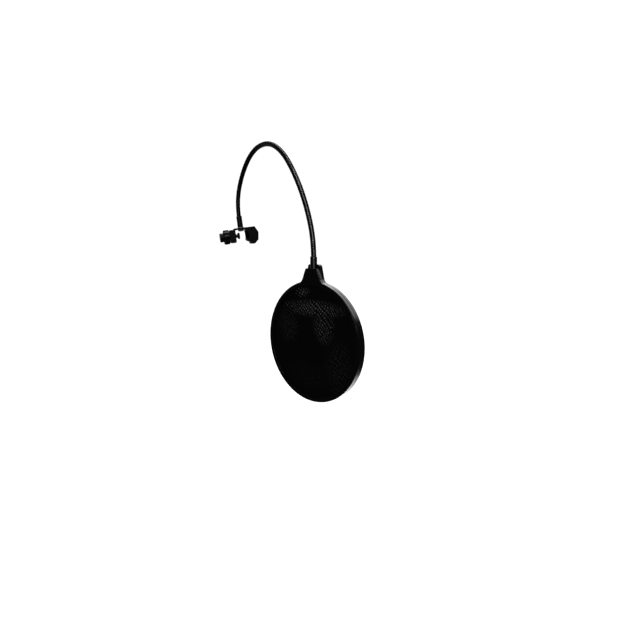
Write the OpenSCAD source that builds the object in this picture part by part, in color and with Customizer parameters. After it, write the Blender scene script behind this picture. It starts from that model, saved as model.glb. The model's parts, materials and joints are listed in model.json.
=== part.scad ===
// Clamp-on pop filter: a double-screen hoop on a bendable gooseneck, carried by a small
// screw clamp. Millimetres, +Z up. The origin is the centre of the round bar that the clamp
// grips; +X runs from the knob to the fixed jaw and Y is the axis of the gripped bar.

/* [Hoop] */
// Outside diameter of the hoop
hoop_d = 155; // [130:1:180]
// Depth of the hoop from its front face to its back face
hoop_depth = 11.5; // [11:0.5:14]
// Width of the flange around each screen
flange_w = 6; // [5:0.5:8]
// Thickness of the hoop's outer wall
wall_t = 2.6; // [2:0.2:3.4]
// Thickness of the flange in front of each screen
flange_t = 1.6; // [1:0.2:2]
// Thickness of one screen of nylon cloth
cloth_t = 0.5; // [0.3:0.1:0.6]

/* [Neck of the hoop] */
// Height of the neck above the hoop
neck_h = 15.5; // [14:0.5:20]
// Width of the neck at its top
neck_top_w = 18.5; // [17:0.5:20]
// How far each side of the front half leans out, in degrees
front_lean = 23; // [15:1:28]
// How far each side of the back half leans out, in degrees
back_lean = 18; // [15:1:28]
// Radius where the neck flows into the hoop
neck_fillet_r = 9; // [6:0.5:12]
// How far the back half reaches up behind the ferrule
tab_rise = 5; // [3:0.5:6]

/* [Gooseneck] */
// Diameter over the outer winding
goose_d = 7; // [6.6:0.1:7.4]
// Length of one of the eight sections
section_len = 45; // [40:1:50]
// Diameter of both end ferrules
ferrule_d = 8.7; // [8.6:0.1:9.6]
// Length of the ferrule that stands on the clamp, with its washer
lower_ferrule_len = 18; // [16:0.5:22]
// Length of the other ferrule above the neck of the hoop
upper_ferrule_len = 14.5; // [12:0.5:18]
// Clear gap between two rigid lengths of winding at a bend
link_gap = 3; // [2.8:0.1:4]

/* [Gooseneck set] */
// Turn of the whole gooseneck about its stud, in degrees
arch_turn = 109; // [0:1:180]
// Turn of the hoop about the end of the gooseneck, in degrees
head_turn = 75; // [0:1:180]

/* [Clamp] */
// Tilt of the clamp on its bar, in degrees
clamp_tilt = 7; // [0:1:10]
// Width of the clamp along the gripped bar
clamp_w = 18; // [16:1:22]
// Radius of the round bar that the jaws hold
grip_r = 6; // [5.5:0.1:6]
// Diameter of the clamp screw
screw_d = 6; // [5:0.5:6]
// Thread pitch of the clamp screw
screw_pitch = 1; // [0.8:0.1:1]
// Diameter of the knob over its lobes
knob_d = 22.5; // [20:0.5:24]
// Number of finger grooves around the knob
knob_grooves = 8; // [6:1:10]
// Diameter of the pressure pad
pad_d = 10; // [8:0.5:10]

/* [Hidden] */
$fn = 72;

// Bend of each gooseneck section, and the roll of its bending plane about the gooseneck
section_bend = [30, 26, 31, 28, 23, 16, 14, 16];
section_roll = [12, -4, -2, -6, 2, 10, 1, -17];
sections = len(section_bend);

fit_gap = 0.05;          // radial clearance of a running fit
big = 60;                // longer than any piece that it cuts

// Hoop
hoop_r = hoop_d / 2;
half_depth = hoop_depth / 2;
edge_r = 1.5;            // rounding of the hoop's outer edges
seam_bevel = 0.5;        // bevel where the two halves of the hoop meet
opening_r = hoop_r - flange_w;
inside_r = hoop_r - wall_t;
flange_back = half_depth - flange_t;
ring_play = 0.2;         // play of the loose rings inside the hoop
ring_w = 2.6;            // radial width of the screen hoops and the spacer
ring_r = inside_r - ring_play;
screen_hoop_t = 1.7;
spacer_half = flange_back - cloth_t - screen_hoop_t;

// Neck
neck_top = neck_top_w / 2;
neck_chamfer = 0.9;
neck_sink = 0.3;         // how far the neck's flare runs into the hoop's wall
tab_corner_r = 3;
hoop_centre = neck_h + hoop_r;
grip_depth = 11;         // how deep the upper ferrule sits in the neck
rib_z = [4.1, 5.9];      // rib in the neck that locks the ferrule
rib_r = ferrule_d / 2 - 0.5;
screw_y = 8.7;
screw_z = 9.5;
neck_screw = [1.0, 1.95, 1.6];   // shank radius, head radius, head height
neck_screw_tip = 4.2;

// Gooseneck
goose_r = goose_d / 2;
bore_r = goose_r - 1.2;
core_r = bore_r - 0.15;
core_bore_r = core_r - 1;
ferrule_r = ferrule_d / 2;
stub_len = 10;           // length of winding pressed into a ferrule
band_t = 0.05;           // height of the band that joins two curves of one winding
band_half = 0.3;
mouth_r = goose_r + 0.1; // recess at the mouth of each ferrule
mouth_len = 0.5;

// Clamp, in its own frame: X along the screw, Z along the stud
spine_top = 12.2;
spine_t = 2.8;
jaw_in = -12.7;          // inner face of the screw jaw
jaw_out = -21.7;         // outer face of the screw jaw
lip_x = grip_r * cos(61);
liner_t = 1.2;
stud_x = -3.1;
stud_r = 2.5;
nut_t = 2.4;
nut_af = 8;
washer_t = 0.8;
screw_r = screw_d / 2;
thread_depth = 0.4;
insert_r = 4.6;
pad_face = -grip_r - 0.2;
pad_rubber_t = 1;
pad_t = 3;
pad_back = pad_face - pad_t;
pocket_depth = 3;
journal_r = 2;
clip_at = pad_face - 1.7;
knob_gap = 0.9;
knob_in = jaw_out - knob_gap;
knob_t = 9;
hub_r = 7;
hub_end = knob_in - knob_t - 5.9;
hex_head = [10, 4];      // across flats, height
cap_t = 1.5;
cap_r = 5.8;

// Centre of the round corner between a leaning side of the neck and the hoop
function corner_centre(lean) =
    let (
        start = [neck_top + neck_fillet_r * cos(lean), -neck_fillet_r * sin(lean) - hoop_centre],
        along = start * [sin(lean), cos(lean)],
        reach = hoop_r - neck_sink + neck_fillet_r,
        run = -along - sqrt(along * along - start * start + reach * reach)
    ) start + run * [sin(lean), cos(lean)] + [0, hoop_centre];

function arc_points(centre, r, from, to, n) =
    [for (i = [0:n]) centre + r * [cos(from + (to - from) * i / n), sin(from + (to - from) * i / n)]];

// ---------- places ----------

module at_clamp() rotate([0, -clamp_tilt, 0]) children();

module at_stem() at_clamp() translate([stud_x, 0, spine_top]) rotate([0, 0, arch_turn]) children();

// From the start of a section to its end: it bends towards -X
module past_section(bend) {
    bend_r = section_len * 180 / (PI * bend);
    translate([bend_r * (cos(bend) - 1), 0, bend_r * sin(bend)]) rotate([0, -bend, 0]) children();
}

// The start of section k, counted from 0, rolled into its bending plane
module at_section(k) {
    if (k == 0)
        at_stem() translate([0, 0, lower_ferrule_len]) rotate([0, 0, section_roll[0]]) children();
    else
        at_section(k - 1) past_section(section_bend[k - 1])
            rotate([0, 0, section_roll[k] - section_roll[k - 1]]) children();
}

module at_goose_end()
    at_section(sections - 1) past_section(section_bend[sections - 1])
        rotate([0, 0, -section_roll[sections - 1]]) children();

// The top of the hoop's neck: +Z points into the hoop and +X out of its front
module at_neck() at_goose_end() translate([0, 0, upper_ferrule_len]) rotate([0, 0, head_turn]) children();

// The hoop's own axis, with +Z out of its front
module at_hoop() at_neck() in_hoop() children();
module in_hoop() translate([0, 0, hoop_centre]) rotate([0, 90, 0]) children();

// A cylinder along the clamp screw, from x0 to x1
module along_screw(r, x0, x1) translate([x0, 0, 0]) rotate([0, 90, 0]) cylinder(r = r, h = x1 - x0);

// ---------- clamp ----------

module clamp_outline() polygon([
    [jaw_out, spine_top - 3], [jaw_out + 1.2, spine_top - 1.8], [jaw_in - 1.8, spine_top - 1.8],
    [jaw_in - 1, spine_top], [18.2, spine_top], [23.2, 2.8], [21.6, -9.2], [15.4, -14.8],
    [9, -14.4], [7.7, -10.4], [4.8, -9.6], [lip_x, -7.6], [lip_x, spine_top - spine_t],
    [jaw_in, spine_top - spine_t], [jaw_in, -9], [jaw_in - 1.2, -10.2], [jaw_out + 1.2, -10.2], [jaw_out, -9]
]);

module clamp_body() color([0.07, 0.07, 0.07]) at_clamp() difference() {
    translate([0, clamp_w / 2, 0]) rotate([90, 0, 0]) linear_extrude(clamp_w) clamp_outline();
    rotate([90, 0, 0]) cylinder(r = grip_r + liner_t, h = big, center = true);
    along_screw(insert_r, jaw_out - 1, jaw_in);
    along_screw(pad_d / 2 + 0.3, jaw_in - pocket_depth, jaw_in + 1);
    translate([stud_x, 0, 0]) cylinder(r = stud_r + fit_gap, h = big);
}

module jaw_liner() color([0.12, 0.12, 0.12]) at_clamp() intersection() {
    rotate([90, 0, 0]) difference() {
        cylinder(r = grip_r + liner_t, h = clamp_w, center = true);
        cylinder(r = grip_r, h = big, center = true);
    }
    translate([lip_x, -big / 2, -big / 2]) cube(big);
}

module thread_insert() color([0.7, 0.55, 0.3]) at_clamp() difference() {
    along_screw(insert_r, jaw_out, jaw_in - pocket_depth);
    along_screw(screw_r + fit_gap, jaw_out - 1, jaw_in);
}

module pressure_pad() color([0.1, 0.1, 0.1]) at_clamp() difference() {
    along_screw(pad_d / 2, pad_back, pad_face - pad_rubber_t);
    along_screw(journal_r + fit_gap, pad_back - 1, pad_face);
    along_screw(journal_r + 1.4, clip_at - 0.1, pad_face);
}

module pad_rubber() color([0.15, 0.15, 0.15]) at_clamp()
    along_screw(pad_d / 2, pad_face - pad_rubber_t, pad_face);

// Thread ridges of the clamp screw, as rings one pitch apart
module threaded_rod(x0, x1) {
    turns = floor((x1 - x0) / screw_pitch);
    ridges = [for (i = [0:turns - 1]) each [
        [screw_r - thread_depth, i * screw_pitch],
        [screw_r, (i + 0.35) * screw_pitch],
        [screw_r, (i + 0.65) * screw_pitch]
    ]];
    translate([x0, 0, 0]) rotate([0, 90, 0]) rotate_extrude()
        polygon(concat([[0, 0]], ridges, [[screw_r - thread_depth, x1 - x0], [0, x1 - x0]]));
}

module clamp_screw() color([0.35, 0.35, 0.36]) at_clamp() difference() {
    union() {
        threaded_rod(hub_end + cap_t + hex_head[1], pad_back - 0.1);
        along_screw(journal_r, pad_back - 1, pad_face - pad_rubber_t - 0.1);
        translate([hub_end + cap_t, 0, 0]) rotate([0, 90, 0])
            cylinder(r = hex_head[0] / sqrt(3), h = hex_head[1] + 0.1, $fn = 6);
    }
    difference() {
        along_screw(journal_r + 1, clip_at, clip_at + 0.5);
        along_screw(journal_r - 0.4, clip_at - 1, clip_at + 1);
    }
}

module pad_clip() color([0.5, 0.5, 0.5]) at_clamp() difference() {
    along_screw(journal_r + 1, clip_at, clip_at + 0.5);
    along_screw(journal_r - 0.4, clip_at - 1, clip_at + 1);
    translate([clip_at - 1, -1.2, -big]) cube([2, 2.4, big]);
}

module knob() color([0.06, 0.06, 0.06]) at_clamp() difference() {
    union() {
        along_screw(knob_d / 2, knob_in - knob_t, knob_in);
        along_screw(hub_r, hub_end, knob_in);
    }
    for (i = [0:knob_grooves - 1]) rotate([360 / knob_grooves * (i + 0.5), 0, 0])
        translate([0, 0, knob_d / 2 + 1.2]) along_screw(2.6, knob_in - knob_t - 1, knob_in + 1);
    along_screw(screw_r, hub_end, knob_in + 1);
    translate([hub_end + cap_t, 0, 0]) rotate([0, 90, 0])
        cylinder(r = hex_head[0] / sqrt(3), h = hex_head[1] + 0.1, $fn = 6);
    along_screw(cap_r, hub_end - 1, hub_end + cap_t);
}

module knob_cap() color([0.04, 0.04, 0.04]) at_clamp() along_screw(cap_r, hub_end, hub_end + cap_t);

// ---------- stem of the gooseneck ----------

module stud() color([0.45, 0.45, 0.45]) at_stem()
    translate([0, 0, -spine_t - nut_t - 0.5])
        cylinder(r = stud_r, h = spine_t + nut_t + 0.5 + lower_ferrule_len - stub_len);

module stud_nut() color([0.3, 0.3, 0.3]) at_stem() difference() {
    translate([0, 0, -spine_t - nut_t]) cylinder(r = nut_af / sqrt(3), h = nut_t, $fn = 6);
    translate([0, 0, -big / 2]) cylinder(r = stud_r, h = big);
}

module friction_washer() color([0.5, 0.5, 0.5]) at_stem() difference() {
    cylinder(r = ferrule_r + 0.6, h = washer_t);
    translate([0, 0, -1]) cylinder(r = stud_r, h = washer_t + 2);
}

module lower_ferrule() color([0.08, 0.08, 0.08]) at_stem() difference() {
    rotate_extrude() polygon([
        [0, washer_t], [ferrule_r, washer_t], [ferrule_r, lower_ferrule_len - 1],
        [ferrule_r - 0.5, lower_ferrule_len], [0, lower_ferrule_len]
    ]);
    cylinder(r = stud_r, h = big);
    translate([0, 0, lower_ferrule_len - stub_len]) cylinder(r = goose_r, h = big);
    translate([0, 0, lower_ferrule_len - mouth_len]) cylinder(r = mouth_r, h = big);
}

// ---------- gooseneck ----------

// A bent tube along one section, from s0 to s1 of its length
module bent_tube(bend, s0, s1, r_out, r_in) {
    bend_r = section_len * 180 / (PI * bend);
    translate([-bend_r, 0, 0]) rotate([90, 0, 0]) rotate([0, 0, bend * s0 / section_len])
        rotate_extrude(angle = bend * (s1 - s0) / section_len) translate([bend_r, 0]) difference() {
            circle(r_out);
            circle(r_in);
        }
}

// A straight tube with its middle at the origin
module straight_tube(r_out, r_in, length) difference() {
    cylinder(r = r_out, h = length, center = true);
    cylinder(r = r_in, h = length + 2, center = true);
}

// Rigid length of winding number k: the half of section k-1 after its bend and the half of
// section k before its bend, made one solid by a thin band over the change of curve
module winding(k) color([0.1, 0.1, 0.1]) {
    if (k > 0) at_section(k - 1)
        bent_tube(section_bend[k - 1], (section_len + link_gap) / 2, section_len, goose_r, bore_r);
    if (k < sections) at_section(k)
        bent_tube(section_bend[k], 0, (section_len - link_gap) / 2, goose_r, bore_r);
    at_joint(k) straight_tube(goose_r + band_t, bore_r - band_t, 2 * band_half);
}

// Between section k-1 and section k
module at_joint(k) if (k < sections) at_section(k) children(); else at_goose_end() children();

module winding_0() {
    winding(0);
    color([0.1, 0.1, 0.1]) at_joint(0)
        translate([0, 0, -stub_len / 2]) straight_tube(goose_r, bore_r, stub_len);
}
module winding_8() {
    winding(8);
    color([0.1, 0.1, 0.1]) at_joint(8)
        translate([0, 0, stub_len / 2]) straight_tube(goose_r, bore_r, stub_len);
}

// Inner spring of section k, as the tube that its coils fill
module core(k) color([0.4, 0.4, 0.4]) at_section(k - 1)
    bent_tube(section_bend[k - 1], 0, section_len, core_r, core_bore_r);

module upper_ferrule() color([0.08, 0.08, 0.08]) at_neck() difference() {
    translate([0, 0, -upper_ferrule_len]) rotate_extrude() polygon([
        [0, 0], [ferrule_r - 0.5, 0], [ferrule_r, 1], [ferrule_r, upper_ferrule_len + rib_z[0] - 0.1],
        [rib_r - 0.1, upper_ferrule_len + rib_z[0] - 0.1], [rib_r - 0.1, upper_ferrule_len + rib_z[1] + 0.1],
        [ferrule_r, upper_ferrule_len + rib_z[1] + 0.1], [ferrule_r, upper_ferrule_len + grip_depth],
        [0, upper_ferrule_len + grip_depth]
    ]);
    translate([0, 0, -upper_ferrule_len - 1]) cylinder(r = goose_r, h = stub_len + 1);
    translate([0, 0, -upper_ferrule_len - 1]) cylinder(r = mouth_r, h = mouth_len + 1);
}

// ---------- hoop ----------

// Section of one half of the hoop: radius across, distance from the middle plane up
module half_section() polygon(concat(
    [[inside_r, 0], [hoop_r - seam_bevel, 0], [hoop_r, seam_bevel]],
    arc_points([hoop_r - edge_r, half_depth - edge_r], edge_r, 0, 90, 5),
    [
        [opening_r + 0.5, half_depth], [opening_r, half_depth - 0.5],
        [opening_r, flange_back], [inside_r, flange_back]
    ]
));

// Outline of the neck: across the hoop, and down from the neck's top
module neck_outline(rise, lean) {
    corner = corner_centre(lean);
    corner_end = atan2(hoop_centre - corner[1], -corner[0]);
    side = arc_points(corner, neck_fillet_r, 180 - lean, corner_end, 6);
    top = rise > 0
        ? arc_points([neck_top - tab_corner_r, tab_corner_r - rise], tab_corner_r, -90, 0, 5)
        : [[neck_top - neck_chamfer, 0], [neck_top, neck_chamfer]];
    half = concat(top, side, [[side[6][0], hoop_centre - hoop_r + 6]]);
    polygon(concat(half, [for (i = [len(half) - 1:-1:0]) [-half[i][0], half[i][1]]]));
}

// One half of the hoop with its half of the neck, in the neck's frame, front half
module frame_half(rise, lean) difference() {
    union() {
        in_hoop() rotate_extrude($fn = 180) half_section();
        difference() {
            intersection() {
                rotate([90, 0, 90]) linear_extrude(half_depth) neck_outline(rise, lean);
                translate([0, big / 2, 0]) rotate([90, 0, 0]) linear_extrude(big) polygon([
                    [0, -rise], [half_depth - neck_chamfer, -rise], [half_depth, neck_chamfer - rise],
                    [half_depth, big], [0, big]
                ]);
            }
            in_hoop() cylinder(r = hoop_r - edge_r, h = big, center = true, $fn = 180);
        }
    }
    translate([0, 0, -big]) cylinder(r = ferrule_r, h = big + rib_z[0]);
    cylinder(r = rib_r, h = rib_z[1] + 1);
    translate([0, 0, rib_z[1]]) cylinder(r = ferrule_r, h = grip_depth + 0.2 - rib_z[1]);
}

module at_neck_screws() for (side = [-1, 1])
    translate([0, side * screw_y, screw_z]) rotate([0, 90, 0]) children();

module front_frame() color([0.05, 0.05, 0.05]) at_neck() difference() {
    frame_half(0, front_lean);
    at_neck_screws() translate([0, 0, -1]) cylinder(r = neck_screw[0], h = neck_screw_tip + 1.2);
}

module rear_frame() color([0.05, 0.05, 0.05]) at_neck() difference() {
    mirror([1, 0, 0]) frame_half(tab_rise, back_lean);
    at_neck_screws() {
        translate([0, 0, -big / 2]) cylinder(r = neck_screw[0] + 0.15, h = big);
        translate([0, 0, -half_depth - 1]) cylinder(r = neck_screw[1] + 0.15, h = 1.2 + neck_screw[2]);
    }
}

module neck_screws() color([0.3, 0.3, 0.3]) at_neck() at_neck_screws() {
    translate([0, 0, 0.2 - half_depth]) cylinder(r = neck_screw[1], h = neck_screw[2]);
    translate([0, 0, neck_screw[2] - half_depth])
        cylinder(r = neck_screw[0], h = neck_screw_tip + half_depth - neck_screw[2]);
}

// A flat ring about the hoop's axis, from z0 to z1
module flat_ring(r_out, r_in, z0, z1) at_hoop() translate([0, 0, z0]) difference() {
    cylinder(r = r_out, h = z1 - z0, $fn = 180);
    translate([0, 0, -1]) cylinder(r = r_in, h = z1 - z0 + 2, $fn = 180);
}

module screen(z0) color([0.03, 0.03, 0.03]) at_hoop() translate([0, 0, z0])
    cylinder(r = ring_r, h = cloth_t, $fn = 180);

module front_screen() screen(flange_back - cloth_t);
module rear_screen() screen(-flange_back);
module front_screen_hoop() color([0.12, 0.12, 0.12])
    flat_ring(ring_r, ring_r - ring_w, spacer_half, flange_back - cloth_t);
module rear_screen_hoop() color([0.12, 0.12, 0.12])
    flat_ring(ring_r, ring_r - ring_w, cloth_t - flange_back, -spacer_half);
module spacer_ring() color([0.2, 0.2, 0.2]) flat_ring(ring_r, ring_r - ring_w, -spacer_half, spacer_half);

clamp_body();
jaw_liner();
thread_insert();
pressure_pad();
pad_rubber();
clamp_screw();
pad_clip();
knob();
knob_cap();
stud();
stud_nut();
friction_washer();
lower_ferrule();
winding_0();
winding(1);  // winding_1
winding(2);  // winding_2
winding(3);  // winding_3
winding(4);  // winding_4
winding(5);  // winding_5
winding(6);  // winding_6
winding(7);  // winding_7
winding_8();
core(1);  // core_1
core(2);  // core_2
core(3);  // core_3
core(4);  // core_4
core(5);  // core_5
core(6);  // core_6
core(7);  // core_7
core(8);  // core_8
upper_ferrule();
front_frame();
rear_frame();
neck_screws();
front_screen();
rear_screen();
front_screen_hoop();
rear_screen_hoop();
spacer_ring();
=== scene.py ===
"""Looks of the clamp-on pop filter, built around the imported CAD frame. Metres throughout."""

import json
import math

import bmesh
import bpy
from mathutils import Matrix, Vector


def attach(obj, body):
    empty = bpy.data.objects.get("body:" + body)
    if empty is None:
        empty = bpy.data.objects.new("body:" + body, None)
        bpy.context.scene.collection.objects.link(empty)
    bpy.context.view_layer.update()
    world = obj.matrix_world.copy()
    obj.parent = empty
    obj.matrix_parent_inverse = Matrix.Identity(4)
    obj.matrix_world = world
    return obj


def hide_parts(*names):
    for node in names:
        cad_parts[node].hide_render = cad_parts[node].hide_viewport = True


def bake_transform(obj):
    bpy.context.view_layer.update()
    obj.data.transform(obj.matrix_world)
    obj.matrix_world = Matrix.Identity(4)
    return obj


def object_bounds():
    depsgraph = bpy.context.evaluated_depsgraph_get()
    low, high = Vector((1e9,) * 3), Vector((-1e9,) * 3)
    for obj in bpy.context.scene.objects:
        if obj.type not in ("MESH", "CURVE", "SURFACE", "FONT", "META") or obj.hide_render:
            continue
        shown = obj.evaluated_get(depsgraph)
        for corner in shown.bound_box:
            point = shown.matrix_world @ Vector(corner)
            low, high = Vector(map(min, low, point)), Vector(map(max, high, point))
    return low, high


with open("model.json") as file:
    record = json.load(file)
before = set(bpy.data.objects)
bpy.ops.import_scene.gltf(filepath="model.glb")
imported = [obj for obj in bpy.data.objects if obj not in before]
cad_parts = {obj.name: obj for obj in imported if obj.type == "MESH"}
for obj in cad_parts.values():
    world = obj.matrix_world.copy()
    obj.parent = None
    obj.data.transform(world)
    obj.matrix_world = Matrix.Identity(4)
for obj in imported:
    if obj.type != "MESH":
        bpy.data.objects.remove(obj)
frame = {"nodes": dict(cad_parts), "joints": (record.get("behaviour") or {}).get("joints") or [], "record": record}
cad_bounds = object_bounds()
nodes = frame["nodes"]
joints = {joint["name"]: joint for joint in frame["joints"]}

MM = 0.001

# The gooseneck, as in the CAD source
LOWER_FERRULE = 18 * MM  # from the top of the clamp to the first winding
UPPER_FERRULE = 14.5 * MM  # from the last winding to the top of the hoop's neck
ARCH_TURN = math.radians(109)  # of the gooseneck about its stud
HEAD_TURN = math.radians(75)  # of the hoop about the end of the gooseneck
SECTION_LENGTH = 45 * MM
SECTION_BEND = [30, 26, 31, 28, 23, 16, 14, 16]  # degrees
SECTION_ROLL = [12, -4, -2, -6, 2, 10, 1, -17]
COIL_RADIUS = 3.5 * MM
COIL_PITCH = 3.0 * MM
COIL_DEPTH = 0.42 * MM
FERRULE_RADIUS = 4.35 * MM
WASHER = 0.8 * MM
STUB = 10 * MM  # length of winding inside a ferrule

# The hoop and its neck, as in the CAD source except for NECK_SINK
HOOP_RADIUS = 77.5 * MM
HALF_DEPTH = 5.75 * MM
OPENING_RADIUS = 71.5 * MM
INSIDE_RADIUS = 74.9 * MM
FLANGE_BACK = 4.15 * MM
HOOP_EDGE = 1.5 * MM
NECK_HEIGHT = 15.5 * MM
NECK_HALF_WIDTH = 9.25 * MM
NECK_FILLET = 9 * MM
NECK_SINK = 0.27 * MM  # 0.03 mm less than in the CAD source, so that the neck joins the hoop cleanly
HOOP_CENTRE = NECK_HEIGHT + HOOP_RADIUS
NECK_RIB = (4.1 * MM, 5.9 * MM, 3.85 * MM)  # its two ends and its bore
FERRULE_GRIP = 11.1 * MM
SCREW_HOLE = (1.15 * MM, 2.1 * MM, 1.8 * MM)  # shank radius, head radius, head depth

# The clamp, as in the CAD source
SCREW_RADIUS = 3 * MM
SCREW_PITCH = 1 * MM
THREAD_DEPTH = 0.4 * MM
JOURNAL_RADIUS = 2 * MM
HUB_RADIUS = 7 * MM
CAP_DEPTH = 1.5 * MM
CAP_RADIUS = 5.8 * MM
KNOB_GROOVES = 8
GROOVE_RADIUS = 2.6 * MM
GROOVE_OUTSIDE = 1.2 * MM  # from the knob's edge out to the centre of each groove


# ---------- materials ----------


def new_material(name):
    material = bpy.data.materials.new(name)
    material.use_nodes = True
    return material, material.node_tree.nodes, material.node_tree.links


def texture(tree_nodes, kind, **values):
    node = tree_nodes.new(kind)
    for key, value in values.items():
        node.inputs[key].default_value = value
    return node


def ramp(tree_nodes, links, source, low, high, start=0.0, stop=1.0):
    """Maps start..stop of a texture onto low to high."""
    node = tree_nodes.new("ShaderNodeMapRange")
    node.inputs["From Min"].default_value = start
    node.inputs["From Max"].default_value = stop
    node.inputs["To Min"].default_value = low
    node.inputs["To Max"].default_value = high
    links.new(source, node.inputs["Value"])
    return node.outputs["Result"]


def tinted(tree_nodes, links, source, dark, light):
    """Mixes two colours by a 0 to 1 texture."""
    node = tree_nodes.new("ShaderNodeMix")
    node.data_type = "RGBA"
    node.inputs["A"].default_value = (*dark, 1)
    node.inputs["B"].default_value = (*light, 1)
    links.new(source, node.inputs["Factor"])
    return node.outputs["Result"]


def maths(tree_nodes, links, operation, a, b=0.0):
    node = tree_nodes.new("ShaderNodeMath")
    node.operation = operation
    for socket, value in zip(node.inputs, (a, b)):
        if isinstance(value, (int, float)):
            socket.default_value = value
        else:
            links.new(value, socket)
    return node.outputs[0]


def add_bump(tree_nodes, links, shader, height, distance):
    bump = texture(tree_nodes, "ShaderNodeBump", Distance=distance, Strength=1.0)
    links.new(height, bump.inputs["Height"])
    links.new(bump.outputs["Normal"], shader.inputs["Normal"])


def moulded(
    name, dark, light, roughness, grain_size, grain_depth, metallic=0.0, spread=0.06, specular=0.2
):
    """A solid material with a fine moulded, cast or plated grain and an uneven polish."""
    material, tree_nodes, links = new_material(name)
    shader = tree_nodes["Principled BSDF"]
    shader.inputs["Metallic"].default_value = metallic
    shader.inputs["Specular IOR Level"].default_value = specular
    place = tree_nodes.new("ShaderNodeTexCoord").outputs["Object"]
    cloud = texture(tree_nodes, "ShaderNodeTexNoise", Scale=90.0, Detail=4.0)
    grain = texture(tree_nodes, "ShaderNodeTexNoise", Scale=1 / grain_size, Detail=2.0)
    links.new(place, cloud.inputs["Vector"])
    links.new(place, grain.inputs["Vector"])
    links.new(tinted(tree_nodes, links, cloud.outputs["Fac"], dark, light), shader.inputs["Base Color"])
    polish = ramp(tree_nodes, links, cloud.outputs["Fac"], roughness - spread, roughness + spread)
    links.new(polish, shader.inputs["Roughness"])
    add_bump(tree_nodes, links, shader, grain.outputs["Fac"], grain_depth)
    return material


def metal(name, dark, light, roughness):
    return moulded(name, dark, light, roughness, 0.5 * MM, 0.006 * MM, metallic=1.0, specular=0.5)


def sine_of(tree_nodes, links, coordinate, pitch):
    """A sine of a coordinate in metres, from 0 to 1."""
    turns = maths(tree_nodes, links, "MULTIPLY", coordinate, 2 * math.pi / pitch)
    return ramp(tree_nodes, links, maths(tree_nodes, links, "SINE", turns), 0, 1, start=-1)


def grating(tree_nodes, links, across, up, bent, turn, pitch):
    """Rows at an angle, bent a little by a slow noise; on the cloth they draw the bands of painted highlight."""
    turn = math.radians(turn)
    a = maths(tree_nodes, links, "MULTIPLY", across, math.cos(turn))
    b = maths(tree_nodes, links, "MULTIPLY", up, math.sin(turn))
    line = maths(tree_nodes, links, "ADD", maths(tree_nodes, links, "ADD", a, b), bent)
    return sine_of(tree_nodes, links, line, pitch)


def patch(tree_nodes, links, across, up, middle, half, strength):
    """A soft oval mask, at its strength in its middle and fading to 0 at its edge; on the cloth it places painted
    highlight.
    """
    squares = []
    for coordinate, centre, reach in zip((across, up), middle, half):
        offset = maths(tree_nodes, links, "SUBTRACT", coordinate, centre * MM)
        share = maths(tree_nodes, links, "DIVIDE", offset, reach * MM)
        squares.append(maths(tree_nodes, links, "MULTIPLY", share, share))
    return ramp(tree_nodes, links, maths(tree_nodes, links, "ADD", *squares), strength, 0.0)


# The cloth: its thread spacing, how far the rows of its painted sheen waver, and each set of those rows by angle
# and spacing
THREAD_SPACING = 0.62 * MM
ROW_WAVER = 16 * MM
PAINTED_SHEEN_ROWS = ((50, 4.1 * MM), (-32, 3.3 * MM))
CLOTH_BLACK = (0.0015, 0.0015, 0.0016)
# Grey of the painted highlight that lies on the cloth's threads
PAINTED_SHEEN_GREY = (0.4, 0.4, 0.41)

# Painted highlight on the cloth: centre of each oval, half widths in millimetres across and up the hoop, and
# strength
PAINTED_SHINE_OVALS = [
    ((4, 43), (58, 12), 1.0),
    ((-16, 63), (14, 8), 0.9),
    ((20, 22), (20, 26), 0.7),
    ((44, -28), (26, 40), 0.2),
    ((-42, 18), (22, 28), 0.25),
    ((0, -45), (50, 20), 0.08),
]


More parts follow.
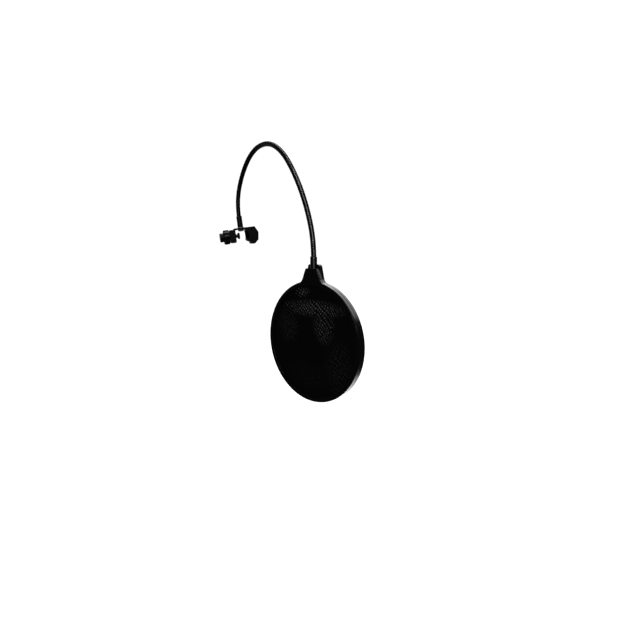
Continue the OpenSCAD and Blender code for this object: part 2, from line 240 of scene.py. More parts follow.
def nylon_cloth():
    """Fine black nylon: crossed threads in relief, with painted grey highlight on the threads in drawn bands and
    ovals.
    """
    material, tree_nodes, links = new_material("nylon_cloth")
    shader = tree_nodes["Principled BSDF"]
    shader.inputs["Specular IOR Level"].default_value = 0.12
    coordinates = tree_nodes.new("ShaderNodeTexCoord").outputs["UV"]
    split = tree_nodes.new("ShaderNodeSeparateXYZ")
    links.new(coordinates, split.inputs["Vector"])
    across, up = split.outputs["X"], split.outputs["Y"]
    warp = sine_of(tree_nodes, links, across, THREAD_SPACING)
    weft = sine_of(tree_nodes, links, up, THREAD_SPACING)
    weave = maths(tree_nodes, links, "MAXIMUM", warp, weft)

    waver = texture(tree_nodes, "ShaderNodeTexNoise", Scale=38.0, Detail=2.0)
    links.new(coordinates, waver.inputs["Vector"])
    bent = maths(tree_nodes, links, "MULTIPLY", waver.outputs["Fac"], ROW_WAVER)
    rows = [
        grating(tree_nodes, links, across, up, bent, turn, pitch)
        for turn, pitch in PAINTED_SHEEN_ROWS
    ]
    crossed = maths(tree_nodes, links, "MULTIPLY", *rows)
    # Ovals of painted highlight
    painted_sheen_ovals = 0.0
    for middle, half, strength in PAINTED_SHINE_OVALS:
        painted_sheen_oval = patch(tree_nodes, links, across, up, middle, half, strength)
        painted_sheen_ovals = maths(tree_nodes, links, "MAXIMUM", painted_sheen_ovals, painted_sheen_oval)
    flecks = texture(tree_nodes, "ShaderNodeTexNoise", Scale=420.0, Detail=3.0, Roughness=0.7)
    links.new(coordinates, flecks.inputs["Vector"])
    broken = ramp(tree_nodes, links, flecks.outputs["Fac"], 0.0, 1.0, start=0.4, stop=0.6)
    fleck = ramp(tree_nodes, links, crossed, 0.0, 1.0, start=0.2, stop=0.7)
    # Mask of the painted highlight: crossed rows, broken by flecks, inside the ovals
    painted_sheen_mask = maths(tree_nodes, links, "MULTIPLY", maths(tree_nodes, links, "MULTIPLY", fleck, broken), painted_sheen_ovals)

    painted_sheen = maths(tree_nodes, links, "MULTIPLY", painted_sheen_mask, weave)
    # Painted highlight: the threads turn grey where the mask is high
    colour = tinted(tree_nodes, links, painted_sheen, CLOTH_BLACK, PAINTED_SHEEN_GREY)
    links.new(colour, shader.inputs["Base Color"])
    links.new(ramp(tree_nodes, links, painted_sheen_mask, 0.7, 0.4), shader.inputs["Roughness"])
    threads = maths(tree_nodes, links, "MULTIPLY", weave, 0.3)
    relief = maths(tree_nodes, links, "ADD", threads, flecks.outputs["Fac"])
    add_bump(tree_nodes, links, shader, relief, 0.3 * MM)
    return material


BLACK = (0.0035, 0.0035, 0.0036)
WORN_BLACK = (0.0052, 0.0052, 0.0054)
HOOP_PLASTIC = moulded("hoop_plastic", BLACK, WORN_BLACK, 0.22, 0.9 * MM, 0.004 * MM)
CLAMP_PLASTIC = moulded("clamp_plastic", BLACK, WORN_BLACK, 0.42, 0.5 * MM, 0.016 * MM, spread=0.1)
KNOB_PLASTIC = moulded("knob_plastic", BLACK, WORN_BLACK, 0.26, 0.7 * MM, 0.008 * MM)
INNER_PLASTIC = moulded("inner_plastic", (0.006, 0.006, 0.006), (0.01, 0.01, 0.01), 0.55, 0.6 * MM, 0.02 * MM)
RUBBER = moulded("rubber", (0.005, 0.005, 0.005), (0.009, 0.009, 0.009), 0.8, 0.35 * MM, 0.03 * MM)
NYLON = moulded("nylon", (0.42, 0.41, 0.38), (0.52, 0.5, 0.47), 0.45, 0.5 * MM, 0.01 * MM)
FERRULE_METAL = metal("ferrule_metal", (0.035, 0.035, 0.036), (0.05, 0.05, 0.052), 0.26)
WINDING_STEEL = metal("winding_steel", (0.024, 0.024, 0.025), (0.036, 0.036, 0.037), 0.2)
CORE_STEEL = metal("core_steel", (0.1, 0.1, 0.1), (0.16, 0.16, 0.16), 0.4)
PLATED_STEEL = metal("plated_steel", (0.16, 0.16, 0.165), (0.24, 0.24, 0.245), 0.34)
BRASS = metal("brass", (0.42, 0.28, 0.09), (0.55, 0.38, 0.14), 0.35)
NYLON_CLOTH = nylon_cloth()

SLOT_MATERIAL = {
    "hoop_plastic": HOOP_PLASTIC,
    "clamp_plastic": CLAMP_PLASTIC,
    "knob_plastic": KNOB_PLASTIC,
    "pad_plastic": CLAMP_PLASTIC,
    "inner_plastic": INNER_PLASTIC,
    "rubber": RUBBER,
    "nylon": NYLON,
    "ferrule_metal": FERRULE_METAL,
    "winding_steel": WINDING_STEEL,
    "core_steel": CORE_STEEL,
    "plated_steel": PLATED_STEEL,
    "brass": BRASS,
    "nylon_cloth": NYLON_CLOTH,
}
SLOT_OF = {part["node"]: part["material_slot"] for part in frame["record"]["subparts"]}
BODY_OF = {node: body for body, held in frame["record"]["behaviour"]["bodies"].items() for node in held}


# ---------- places ----------


def bent_place(bend, run):
    """Place after a run along a section that bends towards -X, in the section's own frame."""
    angle = bend * run / SECTION_LENGTH
    radius = SECTION_LENGTH / bend
    shift = Vector((radius * (math.cos(angle) - 1), 0, radius * math.sin(angle)))
    return Matrix.Translation(shift) @ Matrix.Rotation(-angle, 4, "Y")


def section_places(stem):
    """Start and end of each section of the gooseneck, with Z along it and no roll."""
    start = stem @ Matrix.Translation((0, 0, LOWER_FERRULE))
    places = []
    for bend, roll in zip(SECTION_BEND, SECTION_ROLL):
        turn = Matrix.Rotation(math.radians(roll), 4, "Z")
        end = start @ turn @ bent_place(math.radians(bend), SECTION_LENGTH) @ turn.inverted()
        places.append((start, end))
        start = end
    return places


# Frames: X along the clamp's screw, Z along its stud, and Z into the hoop with X out of its front
CLAMP = Matrix.Rotation(math.asin(joints["stem_turn"]["axis"][0]), 4, "Y")
STEM = Matrix.Translation(joints["stem_turn"]["pos_m"]) @ CLAMP @ Matrix.Rotation(ARCH_TURN, 4, "Z")
SECTIONS = section_places(STEM)
NECK = SECTIONS[-1][1] @ Matrix.Translation((0, 0, UPPER_FERRULE)) @ Matrix.Rotation(HEAD_TURN, 4, "Z")


def along(matrix, axis, centre=(0, 0)):
    """Maps (u, v, w) to the world, with w along an axis of a frame and (u, v) across it."""

    def place(u, v, w):
        point = Vector((0, 0, 0))
        point[(axis + 1) % 3] = u + centre[0]
        point[(axis + 2) % 3] = v + centre[1]
        point[axis] = w
        return matrix @ point

    return place


def extent(node, matrix):
    """Lowest and highest corners of a CAD solid in a frame of its own."""
    local = matrix.inverted()
    corners = [local @ vertex.co for vertex in nodes[node].data.vertices]
    low = Vector([min(corner[i] for corner in corners) for i in range(3)])
    high = Vector([max(corner[i] for corner in corners) for i in range(3)])
    return low, high


# ---------- outlines ----------


def rounded(corners, radius=0.0, sharp=25, step=12):
    """A closed outline with an arc at each sharp corner; a corner may carry its own radius."""
    outline = []
    for index, corner in enumerate(corners):
        here = Vector(corner[:2])
        before = here - Vector(corners[index - 1][:2])
        after = Vector(corners[(index + 1) % len(corners)][:2]) - here
        turn = math.atan2(before.x * after.y - before.y * after.x, before.dot(after))
        wanted = corner[2] if len(corner) > 2 else radius
        if abs(turn) < math.radians(sharp) or wanted == 0:
            outline.append(here)
            continue
        half = math.tan(abs(turn) / 2)
        reach = min(wanted * half, 0.45 * before.length, 0.45 * after.length)
        forward = before.normalized()
        side = Vector((-forward.y, forward.x)) * math.copysign(1, turn)
        start = here - forward * reach
        steps = max(2, math.ceil(abs(math.degrees(turn)) / step))
        for i in range(steps + 1):
            angle = abs(turn) * i / steps
            arc = forward * math.sin(angle) + side * (1 - math.cos(angle))
            outline.append(start + arc * (reach / half))
    return outline


def inset(outline, distance):
    """An anticlockwise outline, moved inwards."""
    moved = []
    for index, here in enumerate(outline):
        before = (here - outline[index - 1]).normalized()
        after = (outline[(index + 1) % len(outline)] - here).normalized()
        middle = before + after
        inward = Vector((-middle.y, middle.x)).normalized()
        moved.append(here + inward * (distance / max(0.5, middle.length / 2)))
    return moved


def end_outline(node, matrix, axis):
    """Outline of the flat high end of a CAD solid, anticlockwise, across one axis of a frame."""
    work = bmesh.new()
    work.from_mesh(nodes[node].data)
    work.transform(matrix.inverted())
    bmesh.ops.remove_doubles(work, verts=work.verts, dist=1e-6)
    end = max(vert.co[axis] for vert in work.verts)
    flat = {face for face in work.faces if all(end - vert.co[axis] < 2e-6 for vert in face.verts)}
    beside = {}
    for edge in work.edges:
        if sum(face in flat for face in edge.link_faces) == 1:
            for vert, other in (edge.verts, reversed(edge.verts)):
                beside.setdefault(vert, []).append(other)
    loops = []
    while beside:
        loop = [next(iter(beside))]
        while loop[-1] in beside:
            onward = [vert for vert in beside.pop(loop[-1]) if vert in beside]
            loop += onward[:1]
        loops.append([Vector((vert.co[(axis + 1) % 3], vert.co[(axis + 2) % 3])) for vert in loop])
    work.free()
    outline = max(loops, key=lambda loop: max(point.length for point in loop))
    area = sum(a.x * b.y - a.y * b.x for a, b in zip(outline, outline[1:] + outline[:1]))
    return outline if area > 0 else outline[::-1]


# ---------- solids ----------


def clean_mesh(name, points, faces, close_ends=False, merge=0.002 * MM):
    """A mesh with no doubled points, no flat faces and its normals outwards."""
    mesh = bpy.data.meshes.new(name)
    work = bmesh.new()
    made = [work.verts.new(point) for point in points]
    for face in faces:
        work.faces.new([made[index] for index in face])
    bmesh.ops.remove_doubles(work, verts=work.verts, dist=merge)
    bmesh.ops.dissolve_degenerate(work, edges=work.edges, dist=merge)
    loose = [vert for vert in work.verts if not vert.link_faces]
    bmesh.ops.delete(work, geom=loose, context="VERTS")
    if close_ends:
        bmesh.ops.holes_fill(work, edges=[edge for edge in work.edges if edge.is_boundary], sides=0)
    bmesh.ops.recalc_face_normals(work, faces=work.faces)
    work.to_mesh(mesh)
    work.free()
    return mesh


def lathe(outline, place, around=96):
    """A closed outline of (radius, w) turned about w."""
    count = len(outline)
    points = []
    for step in range(around):
        angle = 2 * math.pi * step / around
        points += [place(r * math.cos(angle), r * math.sin(angle), w) for r, w in outline]
    faces = []
    for step in range(around):
        here, after = step * count, (step + 1) % around * count
        for i in range(count):
            j = (i + 1) % count
            if outline[i][0] == 0 and outline[j][0] == 0:
                continue
            faces.append((here + i, after + i, after + j, here + j))
    return clean_mesh("turned", points, faces)


def rod(radius, low, high, place):
    return lathe([(0, low), (radius, low), (radius, high), (0, high)], place)


def loft(layers, place):
    """A closed mesh through layers of (outline, w), all with the same number of points."""
    count = len(layers[0][0])
    points = [place(u, v, w) for outline, w in layers for u, v in outline]
    faces = [tuple(range(count))[::-1], tuple(range((len(layers) - 1) * count, len(layers) * count))]
    for layer in range(len(layers) - 1):
        here, after = layer * count, (layer + 1) * count
        for i in range(count):
            j = (i + 1) % count
            faces.append((here + i, here + j, after + j, after + i))
    return clean_mesh("lofted", points, faces)


def rim(outline, w, edge, towards, steps=4):
    """Layers of a rounded rim, from the flat end at w to the full outline; towards is 1 or -1 along w."""
    layers = []
    for i in range(steps + 1):
        angle = math.pi / 2 * i / steps
        across, run = edge * (1 - math.sin(angle)), edge * (1 - math.cos(angle))
        layers.append((inset(outline, across), w + towards * run))
    return layers


def prism(outline, low, high, low_edge, high_edge, place, steps=4):
    """An anticlockwise outline extruded along w from low to high, with both rims rounded."""
    return loft(rim(outline, low, low_edge, 1, steps) + rim(outline, high, high_edge, -1, steps)[::-1], place)


def evaluated_mesh(piece):
    bpy.context.view_layer.update()
    ready = piece.evaluated_get(bpy.context.evaluated_depsgraph_get())
    return bpy.data.meshes.new_from_object(ready)


def combined(mesh, operation, *tool_meshes):
    """A mesh joined with other closed meshes, or cut by them. The solver is sound only in large units."""
    larger = Matrix.Scale(1 / MM, 4)
    mesh.transform(larger)
    piece = bpy.data.objects.new("work", mesh)
    bpy.context.scene.collection.objects.link(piece)
    for tool_mesh in tool_meshes:
        tool_mesh.transform(larger)
        tool = bpy.data.objects.new("tool", tool_mesh)
        bpy.context.scene.collection.objects.link(tool)
        step = piece.modifiers.new("step", "BOOLEAN")
        step.operation = operation
        step.solver = "EXACT"
        step.object = tool
        result = evaluated_mesh(piece)
        piece.modifiers.clear()
        piece.data = result
        bpy.data.objects.remove(tool)
    result = piece.data
    bpy.data.objects.remove(piece)
    result.transform(larger.inverted())
    return result


def joined(*meshes):
    """Several closed meshes in one."""
    work = bmesh.new()
    for mesh in meshes:
        work.from_mesh(mesh)
    whole = bpy.data.meshes.new("joined")
    work.to_mesh(whole)
    work.free()
    return whole


def smooth_by_angle(mesh, degrees):
    """Smooth shading, with edges sharper than an angle left hard."""
    work = bmesh.new()
    work.from_mesh(mesh)
    bmesh.ops.remove_doubles(work, verts=work.verts, dist=0.0005 * MM)
    bmesh.ops.dissolve_degenerate(work, edges=work.edges, dist=0.0005 * MM)
    for face in work.faces:
        face.smooth = True
    for edge in work.edges:
        edge.smooth = not (len(edge.link_faces) == 2 and edge.calc_face_angle() > math.radians(degrees))
    work.to_mesh(mesh)
    work.free()


# ---------- pieces ----------


def place_piece(name, mesh, body, slot_name):
    """Links a mesh as a piece on a body, in the material of its slot."""
    piece = bpy.data.objects.new(name, mesh)
    bpy.context.scene.collection.objects.link(piece)
    mesh.materials.clear()
    mesh.materials.append(SLOT_MATERIAL[slot_name])
    if body:
        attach(piece, body)
    return piece


def stand_for(node, mesh, hard=38):
    """A piece made of flat and rounded faces, in the place of a CAD solid."""
    smooth_by_angle(mesh, hard)
    piece = place_piece(node + "_part", mesh, BODY_OF[node], SLOT_OF[node])
    weighted = piece.modifiers.new("weighted", "WEIGHTED_NORMAL")
    weighted.keep_sharp = True
    shaded = evaluated_mesh(piece)
    piece.modifiers.clear()
    piece.data = shaded
    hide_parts(node)


def in_slot_material(node):
    """A CAD solid that stays as it is, in the material of its slot."""
    for material_slot in nodes[node].material_slots:
        material_slot.material = SLOT_MATERIAL[SLOT_OF[node]]


# ---------- clamp ----------


def clamp_body():
    """The C-shaped jaw, with a bore for the insert, a pocket for the pad and a hole for the stud."""
    low, high = extent("clamp_body", CLAMP)
    outline = rounded(end_outline("clamp_body", CLAMP, 1), 1.4 * MM)
    body = prism(outline, low.y, high.y, 0.8 * MM, 0.8 * MM, along(CLAMP, 1))
    insert_low, insert_high = extent("thread_insert", CLAMP)
    pocket_radius = extent("pressure_pad", CLAMP)[1].y + 0.3 * MM
    hole_radius = extent("stud", STEM)[1].x + 0.05 * MM
    screw_line = along(CLAMP, 0)
    insert_bore = rod(insert_high.y, insert_low.x - MM, insert_high.x + MM, screw_line)
    pocket = rod(pocket_radius, insert_high.x, 0, screw_line)
    stud_hole = rod(hole_radius, -5 * MM, MM, along(STEM, 2))
    stand_for("clamp_body", combined(body, "DIFFERENCE", insert_bore, pocket, stud_hole))


def thread_insert():
    """Brass insert with a chamfered mouth."""
    low, high = extent("thread_insert", CLAMP)
    bore = SCREW_RADIUS + 0.05 * MM
    corners = [
        (high.y, low.x, 0.3 * MM), (high.y, high.x, 0.2 * MM), (bore, high.x),
        (bore, low.x + 0.4 * MM), (bore + 0.4 * MM, low.x),
    ]
    stand_for("thread_insert", lathe(rounded(corners), along(CLAMP, 0)))


def pressure_pad():
    """The pad on the end of the screw, and its rubber face with moulded grooves."""
    low, high = extent("pressure_pad", CLAMP)
    bore = JOURNAL_RADIUS + 0.05 * MM
    well = JOURNAL_RADIUS + 1.4 * MM
    floor = extent("pad_clip", CLAMP)[0].x - 0.1 * MM
    corners = [
        (bore, low.x), (high.y, low.x, 0.8 * MM), (high.y, high.x, 0.15 * MM),
        (well, high.x), (well, floor), (bore, floor),
    ]
    stand_for("pressure_pad", lathe(rounded(corners), along(CLAMP, 0)))
    low, high = extent("pad_rubber", CLAMP)
    corners = [(0, low.x), (high.y, low.x, 0.15 * MM), (high.y, high.x, 0.35 * MM)]
    half, depth = 0.25 * MM, 0.3 * MM
    for groove in (4 * MM, 2.8 * MM, 1.6 * MM):
        corners += [(groove + half, high.x), (groove, high.x - depth), (groove - half, high.x)]
    stand_for("pad_rubber", lathe(rounded(corners + [(0, high.x)]), along(CLAMP, 0)))


def circle(radius, steps=30 * KNOB_GROOVES):
    turn = 2 * math.pi / steps
    return [Vector((radius * math.cos(i * turn), radius * math.sin(i * turn))) for i in range(steps)]


def knob_outline(radius):
    """Round with evenly spaced finger grooves, softened where each groove meets the rim."""
    steps = 30 * KNOB_GROOVES
    centre = radius + GROOVE_OUTSIDE
    reach = []
    for step in range(steps):
        offset = math.radians((step * 360 / steps) % (360 / KNOB_GROOVES) - 180 / KNOB_GROOVES)
        aside = centre * math.sin(offset)
        inside = centre * math.cos(offset) - math.sqrt(max(0, GROOVE_RADIUS ** 2 - aside ** 2))
        reach.append(min(radius, inside) if abs(aside) < GROOVE_RADIUS else radius)
    for _ in range(3):
        reach = [(reach[i - 1] + reach[i] + reach[(i + 1) % steps]) / 3 for i in range(steps)]
    return [point * r for point, r in zip(circle(1), reach)]


def knob():
    """The lobed knob with its hub, and the cap in the end of the hub."""
    low, high = extent("knob", CLAMP)
    line = along(CLAMP, 0)
    local = CLAMP.inverted()
    points = [local @ vertex.co for vertex in nodes["knob"].data.vertices]
    lobes = [point.x for point in points if point.yz.length > HUB_RADIUS + MM]
    face = min(lobes)
    lobed = knob_outline(max(high.y, high.z))
    floor = low.x + CAP_DEPTH
    hub_end = [
        (circle(CAP_RADIUS), floor), (circle(CAP_RADIUS), low.x + 0.2 * MM),
        (circle(CAP_RADIUS + 0.2 * MM), low.x),
    ]
    flare_steps = 3
    hub_side = [
        (circle(HUB_RADIUS + 0.4 * MM * i * i / flare_steps ** 2), face - 0.3 * MM * (flare_steps - i))
        for i in range(flare_steps + 1)
    ]
    screw_hole = SCREW_RADIUS + 0.02 * MM
    back = [(circle(screw_hole), high.x), (circle(screw_hole), high.x - 3 * MM)]
    stand_for("knob", loft(
        hub_end + rim(circle(HUB_RADIUS), low.x, 0.8 * MM, 1) + hub_side
        + rim(lobed, face, 1.6 * MM, 1, steps=6) + rim(lobed, high.x, 0.9 * MM, -1)[::-1] + back, line
    ))
    low, high = extent("knob_cap", CLAMP)
    edge = CAP_RADIUS - 0.05 * MM
    corners = [(0, high.x), (0, low.x), (edge, low.x, 0.5 * MM), (edge, high.x)]
    stand_for("knob_cap", lathe(rounded(corners), line))


def thread_height(turns):
    """Relief of one turn of a screw thread: a flat crest and a V between turns."""
    steepness = 1.25
    across = abs(2 * (turns - math.floor(turns)) - 1)
    return min(1.0, max(0.0, steepness - steepness * across))


def clamp_screw():
    """The thread as a true helix, between the hexagon head inside the knob and the pad's journal."""
    low, high = extent("clamp_screw", CLAMP)
    pad_back = extent("pressure_pad", CLAMP)[0].x

    def on_screw(run, angle, radius):
        return CLAMP @ Vector((low.x + run, radius * math.cos(angle), radius * math.sin(angle)))

    points, faces = ridged_tube(
        on_screw, pad_back - 0.1 * MM - low.x, SCREW_RADIUS, THREAD_DEPTH, SCREW_PITCH, thread_height,
        around=32, per_turn=8,
    )
    thread = clean_mesh("thread", points, faces, close_ends=True)
    line = along(CLAMP, 0)
    hexagon = rounded(circle(high.z, 6), 0.3 * MM)
    head_depth = 4 * MM
    head = prism(hexagon, low.x, low.x + head_depth, 0.3 * MM, 0.3 * MM, line)
    clip_low, clip_high = extent("pad_clip", CLAMP)
    groove = JOURNAL_RADIUS - 0.4 * MM
    journal_start = pad_back - 0.6 * MM
    corners = [
        (0, journal_start), (JOURNAL_RADIUS, journal_start), (JOURNAL_RADIUS, clip_low.x),
        (groove, clip_low.x), (groove, clip_high.x), (JOURNAL_RADIUS, clip_high.x),
        (JOURNAL_RADIUS, high.x, 0.3 * MM), (0, high.x),
    ]
    journal = lathe(rounded(corners), line, around=48)
    stand_for("clamp_screw", joined(thread, head, journal), hard=50)


# ---------- stem and ferrules ----------


def stud_nut():
    """Hexagon nut with rounded rims, under the clamp's spine."""
    low, high = extent("stud_nut", STEM)
    outline = rounded(end_outline("stud_nut", STEM, 2), 0.35 * MM)
    nut = prism(outline, low.z, high.z, 0.45 * MM, 0.2 * MM, along(STEM, 2))
    bore = rod(extent("stud", STEM)[1].x + 0.02 * MM, low.z - MM, high.z + MM, along(STEM, 2))
    stand_for("stud_nut", combined(nut, "DIFFERENCE", bore))


def lower_ferrule():
    """Turned black ferrule that stands on the clamp, open at the top for the winding."""
    stud = extent("stud", STEM)[1].x
    mouth = COIL_RADIUS + 0.1 * MM
    corners = [
        (stud, WASHER), (FERRULE_RADIUS, WASHER, 0.35 * MM), (FERRULE_RADIUS, LOWER_FERRULE, 0.7 * MM),
        (mouth, LOWER_FERRULE, 0.15 * MM), (mouth, LOWER_FERRULE - 0.5 * MM),
        (COIL_RADIUS, LOWER_FERRULE - 0.5 * MM), (COIL_RADIUS, LOWER_FERRULE - STUB),
        (stud, LOWER_FERRULE - STUB),
    ]
    stand_for("lower_ferrule", lathe(rounded(corners), along(STEM, 2)))


def upper_ferrule():
    """Turned black ferrule, held in the neck by a rib."""
    rib_low, rib_high, rib_radius = NECK_RIB
    mouth = COIL_RADIUS + 0.1 * MM
    play = 0.1 * MM
    corners = [
        (mouth, -UPPER_FERRULE, 0.15 * MM), (FERRULE_RADIUS, -UPPER_FERRULE, 0.7 * MM),
        (FERRULE_RADIUS, rib_low - play), (rib_radius - play, rib_low - play),
        (rib_radius - play, rib_high + play), (FERRULE_RADIUS, rib_high + play),
        (FERRULE_RADIUS, FERRULE_GRIP - play, 0.3 * MM), (0, FERRULE_GRIP - play),
        (0, STUB - UPPER_FERRULE), (COIL_RADIUS, STUB - UPPER_FERRULE),
        (COIL_RADIUS, 0.5 * MM - UPPER_FERRULE), (mouth, 0.5 * MM - UPPER_FERRULE),
    ]
    stand_for("upper_ferrule", lathe(rounded(corners), along(NECK, 2)))


# ---------- gooseneck ----------


def coil_height(turns):
    """Relief of one turn of round wire: 1 on its crest and 0 in the groove beside it."""
    roundness = 2.4
    across = 2 * (turns - math.floor(turns)) - 1
    return 1 - abs(across) ** roundness


def ridged_tube(place, length, radius, depth, pitch, height, phase=0.0, around=36, per_turn=10):
    """Points and faces of a helically ridged tube, with the mesh lines running along the helix."""
    rows = int(math.ceil(length / pitch + 2)) * per_turn
    points = []
    for row in range(rows):
        for column in range(around):
            turn = column / around
            run = pitch * ((row / per_turn) - 1 + turn - phase % 1.0)
            run = min(max(run, 0.0), length)
            relief = height(run / pitch + phase - turn)
            points.append(place(run, 2 * math.pi * turn, radius - depth * (1 - relief)))
    faces = []
    for row in range(rows - 1):
        for column in range(around):
            beside = column + 1
            step = 0
            if beside == around:
                beside = 0
                step = per_turn
            if row + 1 + step >= rows:
                continue
            faces.append((
                row * around + column,
                (row + step) * around + beside,
                (row + 1 + step) * around + beside,
                (row + 1) * around + column,
            ))
    return points, faces


def gooseneck():
    """Eight coiled lengths, each bent to the shape of its section of the gooseneck."""
    for section, (start, end) in enumerate(SECTIONS, 1):
        bend = math.radians(SECTION_BEND[section - 1])
        roll = math.radians(SECTION_ROLL[section - 1])
        rolled = start @ Matrix.Rotation(roll, 4, "Z")

        def on_coil(run, angle, radius, rolled=rolled, bend=bend, roll=roll):
            outward = Vector((math.cos(angle - roll), math.sin(angle - roll), 0))
            return rolled @ bent_place(bend, run) @ (outward * radius)

        turned = (section - 1) * SECTION_LENGTH / COIL_PITCH
        points, faces = ridged_tube(
            on_coil, SECTION_LENGTH, COIL_RADIUS, COIL_DEPTH, COIL_PITCH, coil_height, phase=turned
        )
        name = f"gooseneck_coil_{section}"
        mesh = clean_mesh(name, points, faces, close_ends=True, merge=0.01 * MM)
        smooth_by_angle(mesh, degrees=70)
        piece = place_piece(name, mesh, None, "winding_steel")
        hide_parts(f"core_{section}", f"winding_{section - 1}")
        if section == len(SECTIONS):
            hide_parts(f"winding_{section}")
        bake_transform(piece)


# ---------- hoop ----------


def neck_outline(rise, lean, top_radius):
    """Outline of the neck: sides that lean out by an angle and flow into the hoop's wall."""
    sine, cosine = math.sin(math.radians(lean)), math.cos(math.radians(lean))
    start = Vector((NECK_HALF_WIDTH + NECK_FILLET * cosine, -NECK_FILLET * sine - HOOP_CENTRE))
    slope = Vector((sine, cosine))
    reach = HOOP_RADIUS - NECK_SINK + NECK_FILLET
    run = -start.dot(slope) - math.sqrt(start.dot(slope) ** 2 - start.length_squared + reach ** 2)
    corner = start + slope * run + Vector((0, HOOP_CENTRE))
    first = 180 - lean
    last = math.degrees(math.atan2(HOOP_CENTRE - corner.y, -corner.x))
    steps = 12
    side = []
    for i in range(steps + 1):
        angle = math.radians(first + (last - first) * i / steps)
        side.append(corner + NECK_FILLET * Vector((math.cos(angle), math.sin(angle))))
    foot = HOOP_CENTRE - HOOP_RADIUS + 6 * MM
    half = [(NECK_HALF_WIDTH, -rise, top_radius)] + [(point.x, point.y, 0) for point in side]
    half.append((side[-1].x, foot, 0))
    return rounded(half + [(-u, v, radius) for u, v, radius in reversed(half)], step=8)


def screw_centres():
    """Where the two neck screws are, across the neck."""
    low, high = extent("neck_screws", NECK)
    head = (high.z - low.z) / 2
    middle = (low.z + high.z) / 2
    return [(low.y + head, middle), (high.y - head, middle)]


def frame_half(node, side, rise, lean, top_radius):
    """Half of the hoop with its half of the neck; side is 1 in front and -1 behind."""
    place = NECK @ Matrix.Diagonal((side, 1, 1, 1))
    hoop_line = along(place, 0, centre=(0, HOOP_CENTRE))
    ring = lathe(rounded([
        (INSIDE_RADIUS, 0), (HOOP_RADIUS, 0, 0.45 * MM), (HOOP_RADIUS, HALF_DEPTH, HOOP_EDGE),
        (OPENING_RADIUS, HALF_DEPTH, 0.7 * MM), (OPENING_RADIUS, FLANGE_BACK, 0.2 * MM),
        (INSIDE_RADIUS, FLANGE_BACK),
    ]), hoop_line, around=288)
    outline = neck_outline(rise, lean, top_radius)
    neck = prism(outline, 0, HALF_DEPTH - 0.02 * MM, 0.2 * MM, 0.9 * MM, along(place, 0))
    neck = combined(neck, "DIFFERENCE", rod(HOOP_RADIUS - 2 * MM, -MM, HALF_DEPTH + MM, hoop_line))
    rib_low, rib_high, rib_radius = NECK_RIB
    chamfer = 0.4 * MM
    beyond = -20 * MM
    bore = lathe([
        (0, beyond), (FERRULE_RADIUS + chamfer, beyond), (FERRULE_RADIUS + chamfer, -rise),
        (FERRULE_RADIUS, chamfer - rise), (FERRULE_RADIUS, rib_low), (rib_radius, rib_low),
        (rib_radius, rib_high), (FERRULE_RADIUS, rib_high), (FERRULE_RADIUS, FERRULE_GRIP), (0, FERRULE_GRIP),
    ], along(place, 2))
    half = combined(combined(ring, "UNION", neck), "DIFFERENCE", bore)
    if side < 0:
        shank, head, depth = SCREW_HOLE
        hole = [
            (0, -MM), (shank, -MM), (shank, HALF_DEPTH - depth), (head, HALF_DEPTH - depth),
            (head, HALF_DEPTH + MM), (0, HALF_DEPTH + MM),
        ]
        holes = [lathe(hole, along(place, 0, centre=centre), around=48) for centre in screw_centres()]
        half = combined(half, "DIFFERENCE", *holes)
    stand_for(node, half)


def neck_screws():
    """Two pan-head screws with a cross recess."""
    low, high = extent("neck_screws", NECK)
    head = (high.z - low.z) / 2
    under = low.x + 1.6 * MM
    arm, half = 1.2 * MM, 0.22 * MM
    screws = []
    for centre in screw_centres():
        line = along(NECK, 0, centre=centre)
        screw = lathe(rounded([
            (0, low.x), (head, low.x, 0.9 * MM), (head, under, 0.1 * MM),
            (MM, under), (MM, high.x, 0.4 * MM), (0, high.x),
        ]), line, around=48)
        for turn in (20, 110):
            spin = Matrix.Rotation(math.radians(turn), 2)
            corners = ((-arm, -half), (arm, -half), (arm, half), (-arm, half))
            slot = [spin @ Vector(corner) for corner in corners]
            recess = prism(slot, low.x - MM, low.x + 0.9 * MM, 0, 0.1 * MM, line)
            screw = combined(screw, "DIFFERENCE", recess)
        screws.append(screw)
    stand_for("neck_screws", joined(*screws))


# ---------- screens ----------


def screen_sheet(node, side):
    """Nylon cloth stretched over its hoop, a little drawn in between the points where it is held."""
    low, high = extent(node, NECK)
    radius = (high.z - low.z) / 2
    middle = (low.x + high.x) / 2
    place = along(NECK, 0, centre=(0, HOOP_CENTRE))
    rings, spokes = 40, 160
    lift, pull_depth, holds = 0.1 * MM, 0.05 * MM, 24
    points, flat = [place(0, 0, middle)], [(0.0, 0.0)]
    for ring in range(1, rings + 1):
        reach = radius * ring / rings
        for spoke in range(spokes):
            angle = 2 * math.pi * spoke / spokes
            pull = pull_depth * (ring / rings) ** 6 * math.sin(holds * angle)
            u, v = reach * math.cos(angle), reach * math.sin(angle)
            points.append(place(u, v, middle + side * (lift + pull)))
            flat.append((-u, -v))
    faces = [(0, 1 + spoke, 1 + (spoke + 1) % spokes) for spoke in range(spokes)]
    for ring in range(rings - 1):
        inner, outer = 1 + ring * spokes, 1 + (ring + 1) * spokes
        for spoke in range(spokes):
            after = (spoke + 1) % spokes
            faces.append((inner + spoke, outer + spoke, outer + after, inner + after))
    mesh = bpy.data.meshes.new(node + "_cloth")
    mesh.from_pydata([tuple(point) for point in points], [], faces)
    layer = mesh.uv_layers.new(name="cloth")
    for loop in mesh.loops:
        layer.data[loop.index].uv = flat[loop.vertex_index]
    for polygon in mesh.polygons:
        polygon.use_smooth = True
    if side < 0:
        mesh.flip_normals()
    piece = place_piece(node + "_cloth", mesh, BODY_OF[node], "nylon_cloth")
    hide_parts(node)


# ---------- stage ----------

FIRST_COIL_OF_LEG = 5  # the first coil of the gooseneck's leg above the hoop


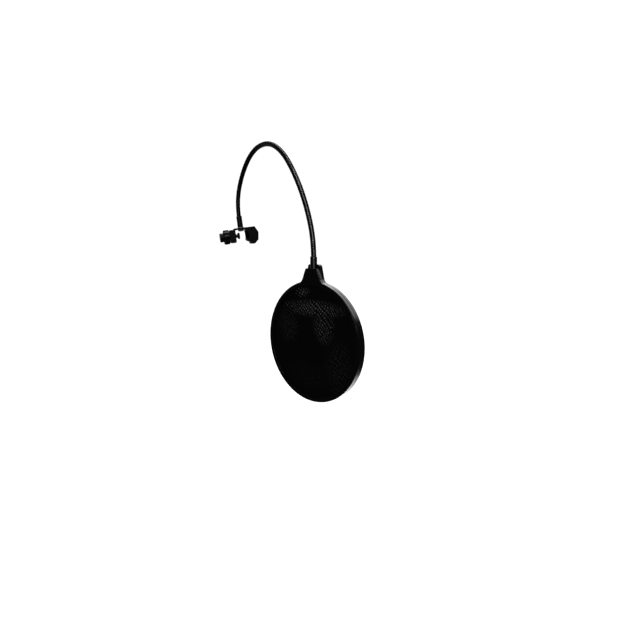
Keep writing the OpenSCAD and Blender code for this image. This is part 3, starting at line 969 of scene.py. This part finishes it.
def backdrop():
    """A plain pale floor that curves up into a wall."""
    drop, curve, wall_y, half = 0.8, 0.8, 2.4, 14.0
    floor_z = cad_bounds[0][2] - drop
    steps = 12
    profile = [(-half, floor_z), (wall_y - curve, floor_z)]
    for step in range(1, steps + 1):
        angle = math.radians(90 * step / steps)
        profile.append((wall_y - curve + curve * math.sin(angle), floor_z + curve - curve * math.cos(angle)))
    profile.append((wall_y, half))
    points = [(x, y, z) for y, z in profile for x in (-half, half)]
    faces = [(2 * i, 2 * i + 1, 2 * i + 3, 2 * i + 2) for i in range(len(profile) - 1)]
    mesh = bpy.data.meshes.new("backdrop")
    mesh.from_pydata(points, [], faces)
    for polygon in mesh.polygons:
        polygon.use_smooth = True
    material, tree_nodes, _links = new_material("backdrop")
    shader = tree_nodes["Principled BSDF"]
    shader.inputs["Base Color"].default_value = (0.86, 0.86, 0.85, 1)
    shader.inputs["Roughness"].default_value = 0.9
    mesh.materials.append(material)
    stage = bpy.data.objects.new("backdrop", mesh)
    bpy.context.scene.collection.objects.link(stage)
    stage.visible_glossy = False
    stage.visible_diffuse = False


def softbox(name, at, towards, width, height, power):
    """A rectangular lamp that the camera does not see."""
    light = bpy.data.lights.new(name, "AREA")
    light.shape = "RECTANGLE"
    light.size = width
    light.size_y = height
    light.energy = power
    lamp = bpy.data.objects.new(name, light)
    lamp.location = at
    lamp.rotation_euler = (Vector(towards) - Vector(at)).to_track_quat("-Z", "Y").to_euler()
    lamp.visible_camera = False
    bpy.context.scene.collection.objects.link(lamp)
    return lamp


def link_light(lamp, state, names):
    """Keeps a lamp's light on these objects (INCLUDE) or off them (EXCLUDE)."""
    linked = bpy.data.collections.new(lamp.name)
    lamp.light_linking.receiver_collection = linked
    for name in names:
        linked.objects.link(bpy.data.objects[name])
    for entry in linked.collection_objects:
        entry.light_linking.link_state = state


def stage_sun():
    """An even, very soft light for the floor and the wall."""
    light = bpy.data.lights.new("stage_sun", "SUN")
    light.energy = 5.2
    light.angle = math.radians(60)
    lamp = bpy.data.objects.new("stage_sun", light)
    lamp.rotation_euler = Vector((0, 0.7, -0.72)).to_track_quat("-Z", "Y").to_euler()
    bpy.context.scene.collection.objects.link(lamp)
    link_light(lamp, "INCLUDE", ["backdrop"])


def lighting():
    """Soft boxes on the object, a sun on the backdrop, and a world that is bright only to the camera."""
    middle = NECK @ Vector((0, 0, HOOP_CENTRE))
    hoop = ["front_frame_part", "rear_frame_part"]
    coils = range(FIRST_COIL_OF_LEG, len(SECTIONS) + 1)
    leg = [f"gooseneck_coil_{section}" for section in coils] + ["upper_ferrule_part"]
    right_of_hoop = middle + Vector((0.84, 0.58, 0.79))
    below_hoop = middle + Vector((0.6, 0.56, -0.66))
    right = softbox("window_right", right_of_hoop, middle, width=1.6, height=0.45, power=9)
    desk = softbox("desk", below_hoop, middle, width=0.8, height=0.3, power=3)
    strip = softbox("strip", (-0.25, -2.1, 0.75), middle, width=0.24, height=1.3, power=60)
    front = softbox("window_front", (-0.6, -2.1, 1.1), middle, width=0.24, height=1.9, power=16)
    ceiling = softbox("ceiling", (0.14, 0.1, 1.2), (0.0, 0.0, 0.0), width=0.25, height=0.7, power=7)
    link_light(right, "INCLUDE", hoop)
    link_light(desk, "INCLUDE", hoop)
    link_light(strip, "INCLUDE", leg)
    link_light(front, "EXCLUDE", ["backdrop", *leg])
    link_light(ceiling, "EXCLUDE", ["backdrop"])
    stage_sun()
    world = bpy.data.worlds.new("world")
    world.use_nodes = True
    tree_nodes, links = world.node_tree.nodes, world.node_tree.links
    background = tree_nodes["Background"]
    background.inputs["Color"].default_value = (1, 1, 1, 1)
    seen = tree_nodes.new("ShaderNodeLightPath").outputs["Is Camera Ray"]
    split = tree_nodes.new("ShaderNodeSeparateXYZ")
    links.new(tree_nodes.new("ShaderNodeTexCoord").outputs["Generated"], split.inputs["Vector"])
    room = ramp(tree_nodes, links, split.outputs["Y"], 0.05, 0.7, start=0.8, stop=1.0)
    plain = ramp(tree_nodes, links, seen, 0.0, 1.0)
    links.new(maths(tree_nodes, links, "MAXIMUM", room, plain), background.inputs["Strength"])
    bpy.context.scene.world = world


def camera():
    data = bpy.data.cameras.new("camera")
    data.sensor_width = 36.0
    data.lens = 28.57
    eye = bpy.data.objects.new("camera", data)
    at = Vector((-0.0984, -0.8049, -0.0113))
    look = Vector((0.2561, 0.9558, -0.1434))
    eye.location = at
    eye.rotation_euler = look.to_track_quat("-Z", "Y").to_euler()
    bpy.context.scene.collection.objects.link(eye)
    bpy.context.scene.camera = eye


# ---------- the part ----------

bpy.context.scene.view_settings.view_transform = "Standard"
camera()
backdrop()

for name in nodes:
    in_slot_material(name)

clamp_body()
thread_insert()
pressure_pad()
clamp_screw()
knob()
stud_nut()
lower_ferrule()
gooseneck()
upper_ferrule()
frame_half("front_frame", 1, 0, 23, 1.2 * MM)
frame_half("rear_frame", -1, 5 * MM, 18, 3 * MM)
neck_screws()
screen_sheet("front_screen", 1)
screen_sheet("rear_screen", -1)
lighting()
